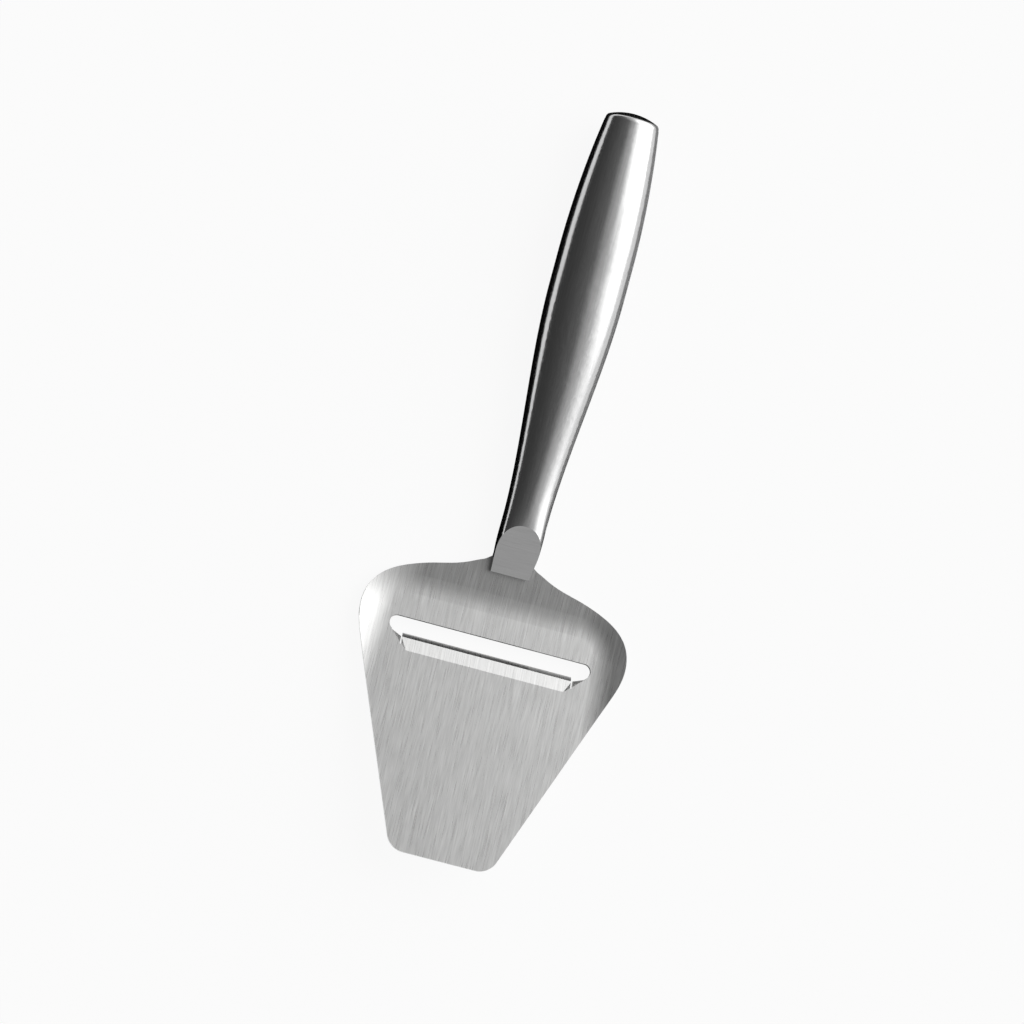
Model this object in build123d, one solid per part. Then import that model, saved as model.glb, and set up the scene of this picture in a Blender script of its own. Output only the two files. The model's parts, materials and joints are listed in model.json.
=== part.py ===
from build123d import *
from math import atan2, copysign, cos, degrees, pi, radians, sin, sqrt, tan
import os

# Cheese slicer: a dished sheet blade with a pressed cutting lip, and a hollow steel handle.
#
# The blade frame is used for drawing: X runs across the tool, Y runs back towards the handle
# from the rear edge of the slot, and Z is up from the top of the flat sheet.
# At the end everything is laid down as it rests on a table, on its cutting edge and its grip,
# with the origin under the middle of the whole tool.

# Blade sheet
sheet_thickness = 1.2
plate_width = 81.6
widest_station = 0.6
plate_front = 68.0
tip_width = 30.35
tip_corner_radius = 6.0
side_start_width = 76.75
side_start_setback = 9.1
neck_station = 24.1
neck_sweep_angle = 38.5
tab_width = 12.0
tab_end = 31.0

# Rear shoulders, from the widest point in to the neck: shares of the half width and of the neck station
shoulder_shares = [
    (0.966, 0.303), (0.875, 0.490), (0.752, 0.614), (0.534, 0.739), (0.301, 0.857), (0.220, 0.921),
]

# Turned-up rim round the shoulders, and the tab that rises with it
rise_angle = 12.0
rim_start_rear = 7.4
rim_start_side = 31.0
rim_bend_radius = 28.0
rim_corner_radius = 6.0
rim_side_angle = -4.0

# Slot and cutting lip
slot_length = 62.0
slot_gap = 4.6
lip_fold_setback = 9.8
lip_edge_setback = 4.35
cutting_depth = 1.8
bevel_length = 1.5
lip_fold_length = 48.6
lip_slit_spacing = 52.6
slit_width = 0.45
slit_length = 2.4

# Handle, along its own axis from the line where the tab starts to rise
foot_station = 9.3
foot_width = 12.2
foot_height = 2.9
neck_start = 21.0
neck_width = 13.35
swell_start = 25.0
belly_start = 96.5
belly_end = 106.0
belly_width = 22.6
butt_station = 147.6
butt_width = 16.4
land_length = 15.4
land_edge_round = 0.3
top_squareness = 3.6
sole_squareness = 4.5
foot_blend_end = 34.0
oval_share = 0.8
shell_wall = 1.0

# Joints of the handle pieces
shell_joint_station = 30.0
spigot_length = 6.0
spigot_clearance = 0.15
seat_clearance = 0.1
cap_height = 3.3
cap_dome_height = 1.9
cap_rim_radius = 1.5
cap_wall = 1.4

# Weld metal
nugget_diameter = 4.4
nugget_height = 1.2
nugget_spacing = 5.6
nugget_setback = 3.0
bead_width = 2.0
bead_height = 0.7
bead_clearance = 0.1
weld_ring_length = 1.2

# Every cut runs past the metal by this much
overrun = 2.0

# How finely the handle's form and the resting line are worked out
section_pitch = 7.0
section_steps = 16
rest_steps = 120

rise = radians(rise_angle)
rim_slope = tan(rise)
half_plate = plate_width / 2
side_slope = (side_start_width - tip_width) / (plate_front - side_start_setback) / 2
rim_bend_reach = rim_bend_radius * sin(rise)
rise_start = rim_start_rear + rim_bend_radius * tan(rise / 2)
underside = -sheet_thickness
edge_height = underside - cutting_depth
neck_thickness = neck_width * oval_share
axis_height = neck_thickness / 2 - sheet_thickness
handle_frame = Plane(
    origin=(0, rise_start - axis_height * sin(rise), axis_height * cos(rise)),
    x_dir=(-1, 0, 0),
    z_dir=(0, cos(rise), sin(rise)),
)


def blend(share):
    """Smooth step from 0 to 1."""
    share = min(max(share, 0), 1)
    return share * share * (3 - 2 * share)


def mirrored(points):
    """The points of the left side that match these on the right, in the order that closes an outline."""
    return [(-x, y) for x, y in reversed(points)]


# The sheet's form

def rim_height(reach):
    """Height of the sheet's top at this distance past the start of the rim."""
    if reach <= 0:
        return 0
    if reach < rim_bend_reach:
        return rim_bend_radius - sqrt(rim_bend_radius**2 - reach**2)
    return rim_slope * (reach - rim_bend_radius * tan(rise / 2))


def plate_outline():
    """Outline from above: tapered front, round shoulders, a neck that runs into the tab."""
    half_tip = tip_width / 2
    half_side = side_start_width / 2
    half_tab = tab_width / 2
    shoulder = [(half_side, -side_start_setback), (half_plate, widest_station)]
    shoulder += [(half_plate * across, neck_station * back) for across, back in shoulder_shares]
    shoulder += [(half_tab, neck_station)]
    side = Line((half_tip, -plate_front), shoulder[0])
    sweep = radians(neck_sweep_angle)
    rear = Spline(*shoulder, tangents=[(side_slope, 1), (-cos(sweep), sin(sweep))])
    tab = Line(shoulder[-1], (half_tab, tab_end - half_tab))
    end = ThreePointArc(tab @ 1, (0, tab_end), (-half_tab, tab_end - half_tab))
    right = Curve() + [side, rear, tab]
    front = Line((-half_tip, -plate_front), (half_tip, -plate_front))
    outline = make_face(right + mirror(right, Plane.YZ) + end + front)
    tips = [v for v in outline.vertices() if v.Y < -plate_front + overrun]
    return fillet(tips, tip_corner_radius)


def upright(face, low, high):
    """A straight block of this plan between two heights."""
    return extrude(Pos(0, 0, low) * face, high - low)


def rim_profile():
    """Side view of the rim, from where it leaves the flat: a bend, then a straight slope."""
    start = rim_corner_radius
    end = start + plate_width
    reaches = [0, rim_bend_radius * sin(rise / 2), rim_bend_reach]
    bend = ThreePointArc(*[(start + reach, 0, rim_height(reach)) for reach in reaches])
    slope = Line(bend @ 1, (end, 0, rim_height(plate_width)))
    inner = Line((start, 0, 0), (start, 0, underside))
    outer = Line(slope @ 1, (end, 0, rim_height(plate_width) + underside))
    top = Curve() + [bend, slope]
    return make_face(top + Pos(0, 0, underside) * top + inner + outer)


def formed_sheet():
    """The sheet before the slot is cut: flat in the middle, with a rim turned up behind and beside."""
    profile = rim_profile()
    centre_x = rim_start_side - rim_corner_radius
    centre_y = rim_start_rear - rim_corner_radius
    rear = extrude(Pos(0, centre_y, 0) * Rot(0, 0, 90) * profile, centre_x, both=True, dir=(1, 0, 0))
    side_place = Pos(centre_x, centre_y, 0) * Rot(0, 0, -rim_side_angle)
    corner = side_place * revolve(profile, Axis.Z, 90 + rim_side_angle)
    side = side_place * extrude(profile, plate_width, dir=(0, -1, 0))
    start = (side_place * Pos(rim_corner_radius, 0, 0)).position
    end = (side_place * Pos(rim_corner_radius, -plate_width, 0)).position
    right = [(centre_x, rim_start_rear), (centre_x, centre_y), (start.X, start.Y), (end.X, end.Y)]
    plan = make_face(Polyline(*right, *mirrored(right), close=True))
    for way in (-1, 1):
        plan += Pos(way * centre_x, centre_y) * Circle(rim_corner_radius)
    flat = upright(plan, underside, 0)
    sheet = flat + rear + corner + side + mirror(corner, Plane.YZ) + mirror(side, Plane.YZ)
    return sheet & upright(plate_outline(), underside - overrun, rim_height(plate_width))


# Slot and lip

def lip_corners():
    """Right-hand corners of the lip in plan: fold end, slot end, hip, and end of the cutting edge."""
    fold = (lip_fold_length / 2, -lip_fold_setback)
    outer = (slot_length / 2 - slot_gap / 4, -slot_gap)
    hip = (lip_slit_spacing / 2, -lip_edge_setback - bevel_length)
    edge = (hip[0], -lip_edge_setback)
    return fold, outer, hip, edge


def slot_window():
    """Everything that is open or pressed down: the slot, and the lip in front of it."""
    fold, outer = lip_corners()[:2]
    slot = Pos(0, -slot_gap / 2) * SlotOverall(slot_length, slot_gap)
    right = [fold, outer, (outer[0], -slot_gap / 2)]
    return slot + make_face(Polyline(*right, *mirrored(right), close=True))


def cutting_lip():
    """The lip: a ramp down to the cutting edge, and a folded gusset at each end."""
    fold, outer, hip, edge = lip_corners()
    ramp_slope = cutting_depth / (lip_fold_setback - lip_edge_setback)
    hip_height = ramp_slope * (fold[1] - hip[1])
    profile = make_face(Plane.YZ * Polyline(
        (fold[1], 0), (hip[1], hip_height), (edge[1], edge_height), (fold[1], underside), close=True
    ))
    ramp = extrude(profile, edge[0], both=True)
    right = [fold, hip, edge]
    plan = make_face(Polyline(*right, *mirrored(right), close=True))
    ramp = ramp & upright(plan, edge_height - overrun, overrun)
    gusset_top = make_face(Polyline((*fold, 0), (*outer, 0), (*hip, hip_height), close=True))
    gusset = extrude(gusset_top, sheet_thickness, dir=(0, 0, -1))
    return ramp + gusset + mirror(gusset, Plane.YZ)


def relief_slits():
    """Short slits at the ends of the lip, so that it presses down without tearing."""
    start = -lip_edge_setback + overrun
    length = overrun + bevel_length + slit_length
    slit = Box(slit_width, length, overrun * 4)
    return [Pos(side * lip_slit_spacing / 2, start - length / 2, 0) * slit for side in (-1, 1)]


def blade():
    sheet = formed_sheet() - upright(slot_window(), underside - overrun, overrun * 2)
    plate = sheet + cutting_lip()
    for slit in relief_slits():
        plate -= slit
    return plate


# Handle form, drawn along its own axis: Z runs back along the axis and Y is up

def half_width(station):
    """Half width of the handle along its length: narrow foot and neck, full belly, tapered butt."""
    foot = foot_width + (neck_width - foot_width) * blend((station - foot_station) / (neck_start - foot_station))
    swell = (belly_width - neck_width) * blend((station - swell_start) / (belly_start - swell_start))
    taper_share = max(station - belly_end, 0) / (butt_station - belly_end)
    return (foot + swell - (belly_width - butt_width) * taper_share**2) / 2


def half_height(station):
    """Half thickness: an even oval, kept at neck thickness over the foot."""
    return max(half_width(station), neck_width / 2) * oval_share


def half_oval(across, high, station, squareness):
    """Points over the handle from side to side. Squareness 2 is a plain oval, more fills its corners."""
    power = 2 / squareness
    points = [(across, 0, station)]
    for step in range(1, section_steps):
        turn = pi * step / section_steps
        side = copysign(abs(cos(turn)) ** power, cos(turn))
        points.append((across * side, high * sin(turn) ** power, station))
    return points + [(-across, 0, station)]


def section(station, inset=0):
    """Closed oval at one station. It squares up towards the foot, most of all underneath."""
    across = half_width(station) - inset
    high = half_height(station) - inset
    plain = blend((station - foot_station) / (foot_blend_end - foot_station))
    upper = half_oval(across, high, station, top_squareness + (2 - top_squareness) * plain)
    lower = half_oval(-across, -high, station, sole_squareness + (2 - sole_squareness) * plain)
    top = Edge.make_spline(upper, tangents=[(0, 1, 0), (0, -1, 0)])
    bottom = Edge.make_spline(lower, tangents=[(0, -1, 0), (0, 1, 0)])
    return Wire([top, bottom])


def spread(first, last):
    """Even stations from first to last, about one section pitch apart."""
    steps = round((last - first) / section_pitch)
    return [first + (last - first) * step / steps for step in range(steps + 1)]


def oval_form(inset=0):
    """The handle's whole form, drawn in from its surface by the inset. Both ends run past."""
    stations = spread(foot_station - overrun, butt_station + overrun)
    return Solid.make_loft([section(station, inset) for station in stations])


def slab(first, last):
    """A block across the handle between two stations."""
    size = belly_width + overrun * 2
    return Pos(0, 0, (first + last) / 2) * Box(size, size, last - first)


# Handle pieces

def land_cut():
    """Everything above the flat land, which runs from the foot's front edge up to the neck's top."""
    apex = foot_station + land_length
    front_height = foot_height - axis_height
    climb = (half_height(apex) - front_height) / land_length
    front = foot_station - overrun
    rear = shell_joint_station
    high = half_height(belly_end) * 2
    outline = make_face(Polyline(
        (0, front_height - climb * overrun, front),
        (0, front_height + climb * (rear - foot_station), rear),
        (0, high, rear),
        (0, high, front),
        close=True,
    ))
    return extrude(outline, belly_width, both=True, dir=(1, 0, 0))


def below_tab():
    """Everything under the plane of the tab's top, as seen from the handle."""
    high = neck_width
    size = belly_width + overrun * 2
    return Pos(0, -axis_height - high / 2, foot_station) * Box(size, high, tab_end * 2)


def tab_seat():
    """The step under the foot that the tab is let into, with its rounded end."""
    half_tab = tab_width / 2 + seat_clearance
    back = tab_end + seat_clearance
    plan = make_face(Polyline(
        (-plate_width, -tab_end), (plate_width, -tab_end), (plate_width, neck_station),
        (half_tab, neck_station), (half_tab, back - half_tab), (-half_tab, back - half_tab),
        (-half_tab, neck_station), (-plate_width, neck_station), close=True,
    ))
    plan += Pos(0, back - half_tab) * Circle(half_tab)
    return upright(plan, -neck_width, neck_width) & (handle_frame.location * below_tab())


def nuggets():
    """Weld nuggets on the line between tab and foot, as small discs."""
    disc = Rot(90, 0, 0) * Cylinder(nugget_diameter / 2, nugget_height)
    first = foot_station + nugget_setback
    places = [first + nugget_spacing * step for step in range(2)]
    return [handle_frame.location * Pos(0, -axis_height, place) * disc for place in places]


def handle_nose(form, spigot_form):
    """Solid foot with the flat land, the step for the tab, and a spigot for the shells."""
    nose = form & slab(foot_station, shell_joint_station)
    nose -= land_cut()
    front = nose.edges().filter_by(Axis.X).filter_by(lambda edge: edge.center().Z < foot_station + overrun)
    nose = fillet(front.sort_by(Axis.Y)[-1], land_edge_round)
    spigot = spigot_form & slab(shell_joint_station - overrun, shell_joint_station + spigot_length)
    nose = handle_frame.location * (nose + spigot)
    nose -= tab_seat()
    for nugget in nuggets():
        nose -= nugget
    return nose


def handle_shells(form, hollow):
    """The two halves of the grip, split along the handle's sides."""
    tube = (form & slab(shell_joint_station, butt_station)) - hollow
    size = belly_width + overrun * 2
    length = butt_station + overrun
    upper_block = Pos(0, size / 2, length / 2) * Box(size, size, length)
    upper = tube & upper_block
    lower = tube & mirror(upper_block, Plane.XZ)
    return upper, lower


def butt_cap(spigot_form):
    """Domed cap with a rounded rim, and a skirt inside the shells."""
    half_butt = butt_width / 2
    taper = (belly_width - butt_width) / (butt_station - belly_end)
    rim_rise = cap_height - cap_dome_height
    rim = (half_butt - taper * rim_rise, 0, butt_station + rim_rise)
    apex = (0, 0, butt_station + cap_height)
    dome_radius = (rim[0] ** 2 + cap_dome_height**2) / (2 * cap_dome_height)
    middle_angle = atan2(rim[0], dome_radius - cap_dome_height) / 2
    middle = (dome_radius * sin(middle_angle), 0, apex[2] - dome_radius * (1 - cos(middle_angle)))
    half = make_face([
        Line((0, 0, butt_station), (half_butt, 0, butt_station)).edge(),
        Line((half_butt, 0, butt_station), rim).edge(),
        ThreePointArc(rim, middle, apex).edge(),
        Line(apex, (0, 0, butt_station)).edge(),
    ])
    corner = [v for v in half.vertices() if v.X > half_butt - rim_rise and v.Z > butt_station + rim_rise / 2]
    half = fillet(corner, cap_rim_radius)
    dome = scale(revolve(half, Axis.Z), by=(1, oval_share, 1))
    skirt = spigot_form & slab(butt_station - spigot_length, butt_station + rim_rise / 2)
    skirt -= oval_form(shell_wall + spigot_clearance + cap_wall) & slab(0, butt_station)
    return dome + skirt


def seam_bead(first, last):
    """One long bead at the shells' split line, with a flat back just clear of the curved wall."""
    half_bead = bead_width / 2
    sections = []
    for station in spread(first, last):
        across = half_width(station) - shell_wall
        high = half_height(station) - shell_wall
        back = across * sqrt(1 - (half_bead / high) ** 2) - bead_clearance
        front = back - bead_height
        corners = [(back, -half_bead), (back, half_bead), (front, half_bead), (front, -half_bead)]
        sections.append(Wire.make_polygon([(x, y, station) for x, y in corners]))
    return Solid.make_loft(sections, ruled=True)


def weld_metal(hollow):
    """Ring beads behind the nose and in front of the cap, and the two long seams between them."""
    nose_end = shell_joint_station + spigot_length
    cap_end = butt_station - spigot_length
    layer = hollow - oval_form(shell_wall + bead_height)
    nose_ring = layer & slab(nose_end, nose_end + weld_ring_length)
    cap_ring = layer & slab(cap_end - weld_ring_length, cap_end)
    seam = seam_bead(nose_end + weld_ring_length, cap_end - weld_ring_length)
    return nose_ring, cap_ring, Compound([seam, mirror(seam, Plane.YZ)])


# How the tool lies on a table

def blade_underside():
    """Side view of what could touch the table under the blade: cutting edge, then the sheet."""
    points = [(-lip_edge_setback, edge_height)]
    for step in range(rest_steps + 1):
        y = tab_end * step / rest_steps
        points.append((y, rim_height(y - rim_start_rear) - sheet_thickness))
    return points


def grip_underside():
    """Side view of the underside of the grip."""
    points = []
    for step in range(rest_steps + 1):
        station = shell_joint_station + (butt_station - shell_joint_station) * step / rest_steps
        below = axis_height - half_height(station)
        y = rise_start + station * cos(rise) - below * sin(rise)
        points.append((y, station * sin(rise) + below * cos(rise)))
    return points


def rest_angle():
    """Slope of the line that touches both the blade and the grip from below, in degrees."""
    grip = grip_underside()
    slopes = [min(atan2(z - low, y - near) for y, z in grip) for near, low in blade_underside()]
    return degrees(max(slopes))


def build():
    """All pieces by name, lying at rest with the origin under their middle."""
    form = oval_form()
    hollow = oval_form(shell_wall)
    spigot_form = oval_form(shell_wall + spigot_clearance)
    plate = blade()
    for nugget in nuggets():
        plate -= nugget
    upper, lower = handle_shells(form, hollow)
    nose_ring, cap_ring, seams = weld_metal(hollow)
    along = handle_frame.location
    pieces = {
        "blade_plate": plate,
        "handle_nose": handle_nose(form, spigot_form),
        "handle_upper_shell": along * upper,
        "handle_lower_shell": along * lower,
        "butt_cap": along * butt_cap(spigot_form),
        "spot_welds": Compound([nugget.solid() for nugget in nuggets()]),
        "seam_welds": along * seams,
        "nose_weld": along * nose_ring,
        "butt_weld": along * cap_ring,
    }
    tilt = Rot(-rest_angle(), 0, 0)
    tilted = {name: tilt * piece for name, piece in pieces.items()}
    boxes = [piece.bounding_box() for piece in tilted.values()]
    middle = (min(box.min.Y for box in boxes) + max(box.max.Y for box in boxes)) / 2
    lay = Pos(0, -middle, -min(box.min.Z for box in boxes))
    return {name: lay * piece for name, piece in tilted.items()}


def main():
    os.makedirs("parts", exist_ok=True)
    pieces = build()
    for name, piece in pieces.items():
        export_step(piece, f"parts/{name}.step")
        box = piece.bounding_box()
        print(name, len(piece.solids()), "solids", round(piece.volume), "mm3", box.min, box.max)
    print("rests at", round(rest_angle(), 2), "degrees")


if __name__ == "__main__":
    main()
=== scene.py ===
# %% [markdown]
# # A cheese slicer in brushed steel
#
# This lesson dresses a cheese slicer that was drawn in CAD: a sheet blade with a slot and a pressed
# cutting lip, and a hollow handle welded onto it. Every metal part is already the right shape and
# size, so Blender's work is the finish: the grain that the belt left in the steel, the soft
# reflections of a studio, and the camera.
#
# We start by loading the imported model. Each part comes in as one object that sits at the origin
# with its place in its mesh, in metres.

# %% Load the parts
import json
from math import atan2, cos, degrees, radians, sin

import bpy
from mathutils import Matrix, Vector

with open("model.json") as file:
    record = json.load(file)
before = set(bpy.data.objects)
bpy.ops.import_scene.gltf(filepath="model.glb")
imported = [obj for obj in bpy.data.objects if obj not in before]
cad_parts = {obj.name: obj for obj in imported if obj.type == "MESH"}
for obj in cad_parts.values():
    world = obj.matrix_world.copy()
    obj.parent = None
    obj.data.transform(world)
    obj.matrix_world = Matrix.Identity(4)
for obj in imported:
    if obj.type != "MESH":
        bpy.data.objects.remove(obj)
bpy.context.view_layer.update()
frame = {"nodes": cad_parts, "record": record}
parts = frame["nodes"]
scene = bpy.context.scene
print("parts:", sorted(parts))

# %% [markdown]
# ## Where things are
#
# Blender works in metres, but a slicer is easier to think about in millimetres, so one value turns
# one into the other. The rest comes from the record that is packed with the parts: the slot's rear
# edge, and the slopes at which blade and handle lie when the tool rests on a table. The blade points
# up towards its tip, and the handle is bent up from it by twelve degrees, so it lies nearly level.

# %% Landmarks
MM = 0.001
BEND = radians(12)
SLOT_MARGIN = 0.29 * MM
SLOT_HEIGHT = 2.81 * MM
record = frame["record"]
sole_axis = Vector(record["mounts"][0]["axis"])
slot_high = record["physics"]["openings"][0]["box_m"][1]
slot_rear = Vector((0, slot_high[1] + SLOT_MARGIN, SLOT_HEIGHT))
blade_slope = atan2(sole_axis.y, -sole_axis.z)
handle_slope = BEND + blade_slope
print("blade and handle slope:", round(degrees(blade_slope), 2), round(degrees(handle_slope), 2))

# %% [markdown]
# ## The camera
#
# The photograph looks almost straight down on the handle, from a little to its left, through a long
# lens. We build the camera's axes from that: first a frame that lies along the handle, then a small
# roll about the handle, then a turn in the picture, because the tool lies aslant in the frame.

# %% Camera
HANDLE_ROLL = radians(7.5)
PICTURE_TURN = radians(15.08)
CAMERA_DISTANCE = 1.5
VIEW_WIDTH = 303.26 * MM
AIM_ACROSS = -4.15 * MM
AIM_ALONG = 38.0 * MM
SENSOR_WIDTH = 36
FAR_CLIP = 10


def add_camera():
    """A long-lens camera that looks down on the tool as the photograph does."""
    along = Vector((0, cos(handle_slope), sin(handle_slope)))
    above = Vector((0, -sin(handle_slope), cos(handle_slope)))
    across = Vector((cos(HANDLE_ROLL), 0, 0)) + sin(HANDLE_ROLL) * above
    towards = across.cross(along).normalized()
    right = cos(PICTURE_TURN) * across + sin(PICTURE_TURN) * along
    up = towards.cross(right)
    aim = slot_rear + AIM_ACROSS * across + AIM_ALONG * along
    data = bpy.data.cameras.new("camera")
    data.sensor_width = SENSOR_WIDTH
    data.lens = SENSOR_WIDTH * CAMERA_DISTANCE / VIEW_WIDTH
    data.clip_end = FAR_CLIP
    camera = bpy.data.objects.new("camera", data)
    scene.collection.objects.link(camera)
    turn = Matrix((right, up, towards)).transposed().to_4x4()
    camera.matrix_world = Matrix.Translation(aim + CAMERA_DISTANCE * towards) @ turn
    scene.camera = camera
    return camera


camera = add_camera()
print("lens:", round(camera.data.lens, 1), "mm")

# %% [markdown]
# ## Small helpers for materials
#
# Every material here is a handful of nodes. These helpers start a material, add a node, and squeeze
# or stretch a value from one range to another.

# %% Node helpers
def new_material(name):
    """An empty material with one surface shader."""
    material = bpy.data.materials.new(name)
    material.use_nodes = True
    tree = material.node_tree
    shader = next(node for node in tree.nodes if node.type == "BSDF_PRINCIPLED")
    return material, tree, shader


def add_node(tree, kind, **settings):
    """A new node with its settings."""
    node = tree.nodes.new(kind)
    for name, value in settings.items():
        setattr(node, name, value)
    return node


def span(tree, source, low, high, first=0.0, last=1.0):
    """A value that runs from low to high while the source runs from first to last."""
    node = add_node(tree, "ShaderNodeMapRange")
    tree.links.new(source, node.inputs["Value"])
    for name, value in (("From Min", first), ("From Max", last), ("To Min", low), ("To Max", high)):
        node.inputs[name].default_value = value
    return node.outputs["Result"]


def combine(tree, operation, first, second):
    """Two values put together by one sum."""
    node = add_node(tree, "ShaderNodeMath", operation=operation)
    tree.links.new(first, node.inputs[0])
    tree.links.new(second, node.inputs[1])
    return node.outputs["Value"]


def facing(tree, source, direction):
    """How far a direction field points the way of one fixed direction, from -1 to 1."""
    node = add_node(tree, "ShaderNodeVectorMath", operation="DOT_PRODUCT")
    node.inputs[1].default_value = direction
    tree.links.new(source, node.inputs[0])
    return node.outputs["Value"]


# %% [markdown]
# ## The belt's grain
#
# A belt drags grit along the metal and leaves thousands of fine, parallel scratches. We draw them
# with noise that is stretched along the brushing direction: fine across, long along. One layer of
# noise looks like printed stripes, so two are mixed, a fine one for the scratches and a broader one
# for the bands that a worn belt leaves.

# %% Steel grain
FINE_GRAIN = 3200.0
BROAD_GRAIN = 900.0
GRAIN_DETAIL = 2.0
GRAIN_ROUGHNESS = 0.65
BROAD_SHARE = 0.18


def stretched_noise(tree, scale, stretch):
    """Noise whose scale is drawn out by one factor for each axis of the tool."""
    place = add_node(tree, "ShaderNodeTexCoord")
    mapping = add_node(tree, "ShaderNodeMapping")
    mapping.inputs["Scale"].default_value = stretch
    tree.links.new(place.outputs["Object"], mapping.inputs["Vector"])
    noise = add_node(tree, "ShaderNodeTexNoise")
    noise.inputs["Scale"].default_value = scale
    noise.inputs["Detail"].default_value = GRAIN_DETAIL
    noise.inputs["Roughness"].default_value = GRAIN_ROUGHNESS
    tree.links.new(mapping.outputs["Vector"], noise.inputs["Vector"])
    return noise.outputs["Fac"]


def grain(tree, stretch):
    """Fine scratches over broader bands, both drawn out the same way."""
    fine = stretched_noise(tree, FINE_GRAIN, stretch)
    broad = stretched_noise(tree, BROAD_GRAIN, stretch)
    return combine(
        tree, "ADD", span(tree, fine, 0.0, 1 - BROAD_SHARE), span(tree, broad, 0.0, BROAD_SHARE)
    )


# %% [markdown]
# ## Brushed steel
#
# A real scratch changes three things at once: how bright the metal looks, how rough it is, and its
# height. So the same grain drives all three. The mean colour is a plain light grey, because the
# colour of steel is nearly neutral. The blade's scratches run along the tool, so its noise is drawn
# out along and upwards. The handle curves round, so its noise is drawn out along only.

# %% Brushed steel
GRAIN_SHARPEST = 0.3
GRAIN_DULLEST = 0.7
SCRATCH_DEPTH = 0.02 * MM
ROUGHNESS_SWING = 0.15
ALONG_BLADE = (1.0, 0.035, 0.035)
ALONG_HANDLE = (1.0, 0.022, 1.0)
ACROSS_TOOL = (0.03, 1.0, 1.0)
BLADE_LOOK = {"colour": (0.62, 0.62, 0.615), "roughness": 0.3, "contrast": 0.16, "depth": 0.25}


def set_steel(tree, shader, streaks, colour, roughness, contrast, depth):
    """Let one grain drive the brightness, the roughness and the height of the steel."""
    shader.inputs["Metallic"].default_value = 1.0
    tone = span(tree, streaks, 1 - contrast, 1 + contrast, GRAIN_SHARPEST, GRAIN_DULLEST)
    tint = add_node(tree, "ShaderNodeVectorMath", operation="SCALE")
    tint.inputs["Vector"].default_value = colour
    tree.links.new(tone, tint.inputs["Scale"])
    tree.links.new(tint.outputs["Vector"], shader.inputs["Base Color"])
    smooth, dull = roughness * (1 - ROUGHNESS_SWING), roughness * (1 + ROUGHNESS_SWING)
    rough = span(tree, streaks, smooth, dull, GRAIN_SHARPEST, GRAIN_DULLEST)
    tree.links.new(rough, shader.inputs["Roughness"])
    bump = add_node(tree, "ShaderNodeBump")
    bump.inputs["Strength"].default_value = depth
    bump.inputs["Distance"].default_value = SCRATCH_DEPTH
    tree.links.new(streaks, bump.inputs["Height"])
    tree.links.new(bump.outputs["Normal"], shader.inputs["Normal"])


def blade_finish():
    """The blade's steel, with scratches along the tool."""
    material, tree, shader = new_material("blade_steel")
    set_steel(tree, shader, grain(tree, ALONG_BLADE), **BLADE_LOOK)
    return material


blade_steel = blade_finish()
print("made:", blade_steel.name)

# %% [markdown]
# ## The handle's two finishes
#
# The handle is polished finer than the blade and brushed lengthwise. Its flat land was ground in a
# second step, across the tool, and shows it. A mask tells the two apart: the land is the only place
# whose surface points forwards and up, so we compare the direction of each face with the land's.

# %% Handle steel
LAND_SLOPE = radians(23.1)
LAND_MASK = (0.985, 0.995)
HANDLE_LOOK = {"colour": (0.62, 0.62, 0.62), "roughness": 0.17, "contrast": 0.07, "depth": 0.06}


def blend_grains(tree, mask, first, second):
    """The first grain where the mask is 0, the second where it is 1."""
    mix = add_node(tree, "ShaderNodeMix", data_type="FLOAT")
    tree.links.new(mask, mix.inputs["Factor"])
    tree.links.new(first, mix.inputs["A"])
    tree.links.new(second, mix.inputs["B"])
    return mix.outputs["Result"]


def handle_finish():
    """The handle's satin steel, cross-brushed where the surface faces as the land does."""
    material, tree, shader = new_material("handle_steel")
    lean = LAND_SLOPE + handle_slope
    surface = add_node(tree, "ShaderNodeNewGeometry")
    likeness = facing(tree, surface.outputs["True Normal"], (0, -sin(lean), cos(lean)))
    mask = span(tree, likeness, 0.0, 1.0, *LAND_MASK)
    streaks = blend_grains(tree, mask, grain(tree, ALONG_HANDLE), grain(tree, ACROSS_TOOL))
    set_steel(tree, shader, streaks, **HANDLE_LOOK)
    return material


handle_steel = handle_finish()
print("made:", handle_steel.name)

# %% [markdown]
# ## Weld metal, and who wears what
#
# The beads lie inside the handle, so they only need to look right when someone takes the model
# apart: darker and duller than the rest, as metal is that was molten once and never brushed.

# %% Dress the parts
EVEN = (1.0, 1.0, 1.0)
WELD_LOOK = {"colour": (0.42, 0.41, 0.4), "roughness": 0.5, "contrast": 0.2, "depth": 0.5}


def weld_finish():
    """Dull, slightly lumpy metal as the welding left it."""
    material, tree, shader = new_material("weld_steel")
    lumps = stretched_noise(tree, BROAD_GRAIN, EVEN)
    set_steel(tree, shader, lumps, **WELD_LOOK)
    return material


weld_steel = weld_finish()
finishes = {"blade_steel": blade_steel, "handle_steel": handle_steel, "weld_steel": weld_steel}
for subpart in record["subparts"]:
    part = parts[subpart["node"]]
    part.data.materials.clear()
    part.data.materials.append(finishes[subpart["material_slot"]])
    print(part.name, "wears", subpart["material_slot"])

# %% [markdown]
# ## The studio
#
# Steel has no colour of its own to speak of: it shows what stands around it. The photograph was lit
# by a large soft light on the right and behind, with a dark room on the left, and that is what makes
# the handle fall from white to near black. The world does this with one ramp of brightness, from
# the dark side to the bright side. A second, fainter light in front of the blade keeps the land of
# the handle from going black.

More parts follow.
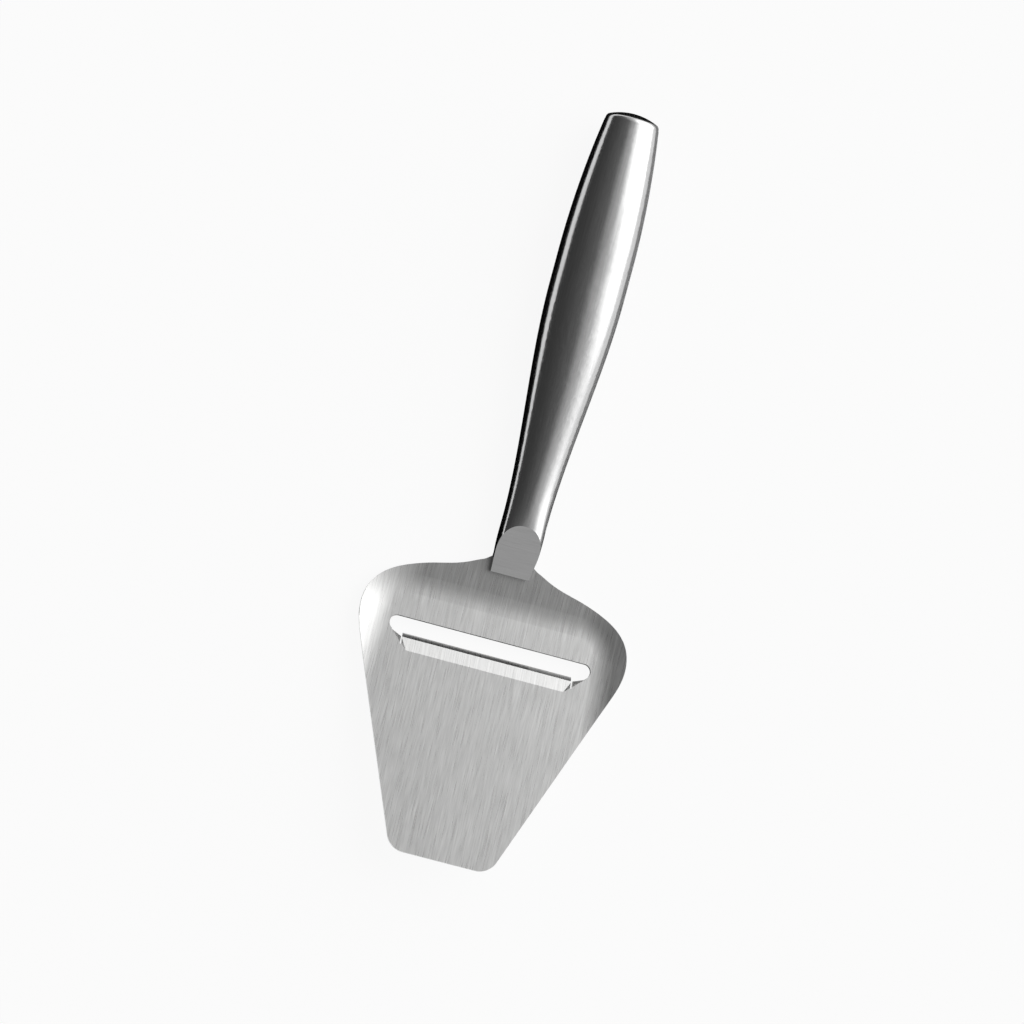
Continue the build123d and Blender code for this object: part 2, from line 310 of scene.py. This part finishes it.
# %% World
BRIGHT_SIDE = (0.76, 0.574, 0.307)
STUDIO_SHADES = [
    (-1.0, 0.06), (-0.3, 0.07), (0.0, 0.11), (0.28, 0.17), (0.384, 0.32),
    (0.504, 0.5), (0.59, 0.58), (0.695, 0.95), (0.81, 1.9), (1.0, 2.3),
]
FRONT_SIDE = (0.0, -0.862, 0.507)
FRONT_LEVEL = 0.38
FRONT_REACH = (0.8, 0.97)


def shade_ramp(tree, source, shades):
    """A smooth curve of brightness over the range from -1 to 1."""
    curve = add_node(tree, "ShaderNodeFloatCurve")
    points = curve.mapping.curves[0].points
    top = shades[-1][1]
    while len(points) < len(shades):
        points.new(0.5, 0.5)
    for point, (where, shade) in zip(points, shades):
        point.location = ((where + 1) / 2, shade / top)
    curve.mapping.update()
    tree.links.new(span(tree, source, 0.0, 1.0, -1.0, 1.0), curve.inputs["Value"])
    return span(tree, curve.outputs["Value"], 0.0, top)


def add_world():
    """A soft studio: dark on the left, bright on the right and behind, with a faint light in front."""
    world = bpy.data.worlds.new("studio")
    scene.world = world
    world.use_nodes = True
    tree = world.node_tree
    background = tree.nodes["Background"]
    background.inputs["Color"].default_value = (1, 1, 1, 1)
    place = add_node(tree, "ShaderNodeTexCoord").outputs["Generated"]
    room = shade_ramp(tree, facing(tree, place, BRIGHT_SIDE), STUDIO_SHADES)
    front = span(tree, facing(tree, place, FRONT_SIDE), 0.0, FRONT_LEVEL, *FRONT_REACH)
    tree.links.new(combine(tree, "ADD", room, front), background.inputs["Strength"])


add_world()
print("studio shades:", len(STUDIO_SHADES))

# %% [markdown]
# ## The floor
#
# The tool lies on plain white paper. To the camera, and in the metal, the paper glows a little by
# itself, so that it comes out white without flooding the tool with light. The rest of it is an
# ordinary matt surface, which keeps the tool's soft shadow.

# %% Floor
FLOOR_SIZE = 6.0
FLOOR_GLOW = 0.92
PAPER_WHITE = (0.9, 0.9, 0.9, 1)
PAPER_ROUGHNESS = 0.9
NO_SHEEN = 0.0


def add_floor():
    """A pale floor that looks white and keeps a soft shadow."""
    bpy.ops.mesh.primitive_plane_add(size=FLOOR_SIZE)
    floor = bpy.context.object
    floor.name = "floor"
    material, tree, shader = new_material("floor_paper")
    shader.inputs["Base Color"].default_value = PAPER_WHITE
    shader.inputs["Roughness"].default_value = PAPER_ROUGHNESS
    shader.inputs["Specular IOR Level"].default_value = NO_SHEEN
    ray = add_node(tree, "ShaderNodeLightPath")
    seen = combine(tree, "MAXIMUM", ray.outputs["Is Camera Ray"], ray.outputs["Is Glossy Ray"])
    glow = add_node(tree, "ShaderNodeEmission")
    mix = add_node(tree, "ShaderNodeMixShader")
    tree.links.new(span(tree, seen, 0.0, FLOOR_GLOW), mix.inputs["Fac"])
    tree.links.new(shader.outputs["BSDF"], mix.inputs[1])
    tree.links.new(glow.outputs["Emission"], mix.inputs[2])
    output = next(node for node in tree.nodes if node.type == "OUTPUT_MATERIAL")
    tree.links.new(mix.outputs["Shader"], output.inputs["Surface"])
    floor.data.materials.append(material)
    return floor


floor = add_floor()
print("floor:", round(floor.dimensions.x, 1), "m wide")

# %% [markdown]
# ## Two cards
#
# Photographers draw the edge of polished steel with card. A black one lies on the paper under the
# handle and reaches out to its left. It is also painted shade: the paper in the handle's own shadow
# glows white in reflections, and the black card puts that shade back. The handle's flanks reflect it
# as dark edges, and the white paper beyond it as one thin light line. A grey one lies to the right,
# where the edge is softer.
# Only reflections see the cards. The camera and the shadows don't.

# %% Cards
CARD_FRONT = -50.0 * MM
CARD_BACK = 145.0 * MM
CARD_HEIGHT = 0.05 * MM
BLACK_CARD_LEFT = -42.0 * MM
CARDS_MEET = 13.0 * MM
GREY_CARD_RIGHT = 48.0 * MM
BLACK_TONE = 0.01
GREY_TONE = 0.45
CARD_ROUGHNESS = 1.0


def add_card(name, left, right, tone):
    """A card that lies on the paper and shows in reflections only."""
    corners = [
        (left, CARD_FRONT, CARD_HEIGHT), (right, CARD_FRONT, CARD_HEIGHT),
        (right, CARD_BACK, CARD_HEIGHT), (left, CARD_BACK, CARD_HEIGHT),
    ]
    mesh = bpy.data.meshes.new(name)
    mesh.from_pydata(corners, [], [(0, 1, 2, 3)])
    card = bpy.data.objects.new(name, mesh)
    scene.collection.objects.link(card)
    material, _, shader = new_material(name)
    shader.inputs["Base Color"].default_value = (tone, tone, tone, 1)
    shader.inputs["Roughness"].default_value = CARD_ROUGHNESS
    shader.inputs["Specular IOR Level"].default_value = NO_SHEEN
    mesh.materials.append(material)
    card.visible_camera = False
    card.visible_diffuse = False
    card.visible_shadow = False
    print(name, "is", round(card.dimensions.x / MM), "mm wide")


# The black card is painted shade for reflections: a dark sheet where the paper under and beside the
# handle lies in shadow.
add_card("painted_shade_card", BLACK_CARD_LEFT, CARDS_MEET, BLACK_TONE)
add_card("grey_card", CARDS_MEET, GREY_CARD_RIGHT, GREY_TONE)

# %% [markdown]
# ## The soft lamp
#
# The world gives the reflections, but its shadow is too soft to say where the tool stands. One
# large, weak lamp on the bright side adds a shadow with a direction.

# %% Softbox
KEY_PLACE = (0.7, 0.8, 1.3)
KEY_SIZE = 1.0
KEY_POWER = 1.5


def add_softbox(name, place, size, power):
    """A square area light that looks at the tool."""
    data = bpy.data.lights.new(name, "AREA")
    data.shape = "SQUARE"
    data.size = size
    data.energy = power
    lamp = bpy.data.objects.new(name, data)
    scene.collection.objects.link(lamp)
    lamp.location = place
    lamp.rotation_euler = (-Vector(place)).to_track_quat("-Z", "Y").to_euler()
    return lamp


key = add_softbox("key", KEY_PLACE, KEY_SIZE, KEY_POWER)
print("lamp:", key.name, key.data.energy, "W")

# %% [markdown]
# ## Picture settings
#
# The Standard view shows each value as it is written, with no film look laid over it.

# %% Picture settings
scene.view_settings.view_transform = "Standard"
print("view:", scene.view_settings.view_transform)
